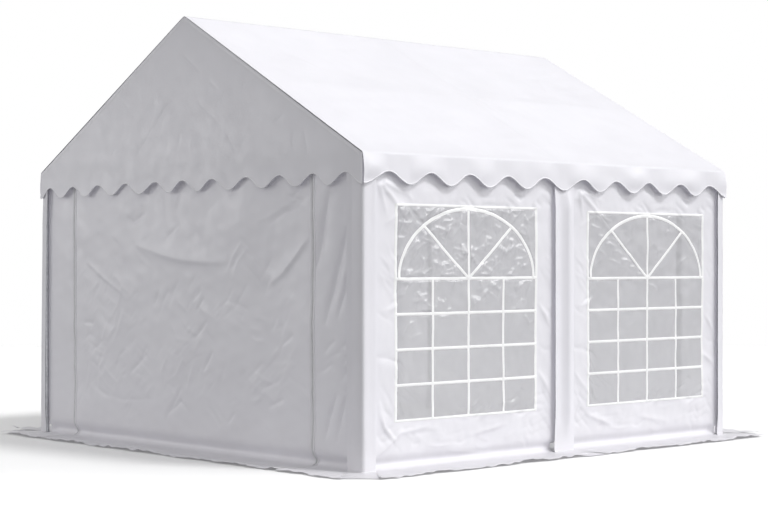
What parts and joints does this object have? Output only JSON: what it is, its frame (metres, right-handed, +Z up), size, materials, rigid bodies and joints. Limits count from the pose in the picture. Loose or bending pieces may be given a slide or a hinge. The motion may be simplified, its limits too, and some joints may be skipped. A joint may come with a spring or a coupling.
{
  "type": "marquee tent",
  "caption": "Gable marquee tent: steel tube frame under a white PVC roof with scalloped valances, zipped end walls, arched clear film windows in the sides and ground skirts.",
  "frame": {"origin": "on the ground under the middle of the tent", "axes": "+Z up, ridge along Y, front gable faces -Y, windows face +X and -X"},
  "size_m": [4.644, 4.644, 3.26],
  "materials": {
    "pvc_cover": "white coated PVC tarpaulin, semi gloss",
    "window_film": "clear flexible PVC film, rippled",
    "steel_tube": "galvanized",
    "zip_tape": "white zip tape and coil"
  },
  "bodies": {
    "root": {"leg_front_left": "steel_tube", "leg_front_right": "steel_tube", "leg_middle_left": "steel_tube", "leg_middle_right": "steel_tube", "leg_back_left": "steel_tube", "leg_back_right": "steel_tube", "rafter_front_left": "steel_tube", "rafter_front_right": "steel_tube", "rafter_middle_left": "steel_tube", "rafter_middle_right": "steel_tube", "rafter_back_left": "steel_tube", "rafter_back_right": "steel_tube", "slope_purlin_left_front": "steel_tube", "slope_purlin_left_back": "steel_tube", "slope_purlin_right_front": "steel_tube", "slope_purlin_right_back": "steel_tube", "ridge_purlin": "steel_tube", "eave_purlin_left": "steel_tube", "eave_purlin_right": "steel_tube", "gable_tie_front": "steel_tube", "gable_tie_back": "steel_tube", "roof_slope_left": "pvc_cover", "roof_slope_right": "pvc_cover", "gable_front": "pvc_cover", "gable_back": "pvc_cover", "window_wall_left_front": "pvc_cover", "window_wall_left_back": "pvc_cover", "window_wall_right_front": "pvc_cover", "window_wall_right_back": "pvc_cover", "door_front": "pvc_cover", "door_back": "pvc_cover", "end_wall_front_left": "pvc_cover", "end_wall_front_right": "pvc_cover", "end_wall_back_left": "pvc_cover", "end_wall_back_right": "pvc_cover", "corner_sleeve_front_left": "pvc_cover", "corner_sleeve_front_right": "pvc_cover", "corner_sleeve_back_left": "pvc_cover", "corner_sleeve_back_right": "pvc_cover", "middle_sleeve_left": "pvc_cover", "middle_sleeve_right": "pvc_cover", "window_pane_left_front": "window_film", "window_pane_left_back": "window_film", "window_pane_right_front": "window_film", "window_pane_right_back": "window_film", "zip_front_left": "zip_tape", "zip_front_right": "zip_tape", "zip_back_left": "zip_tape", "zip_back_right": "zip_tape"}
  },
  "joints": []
}
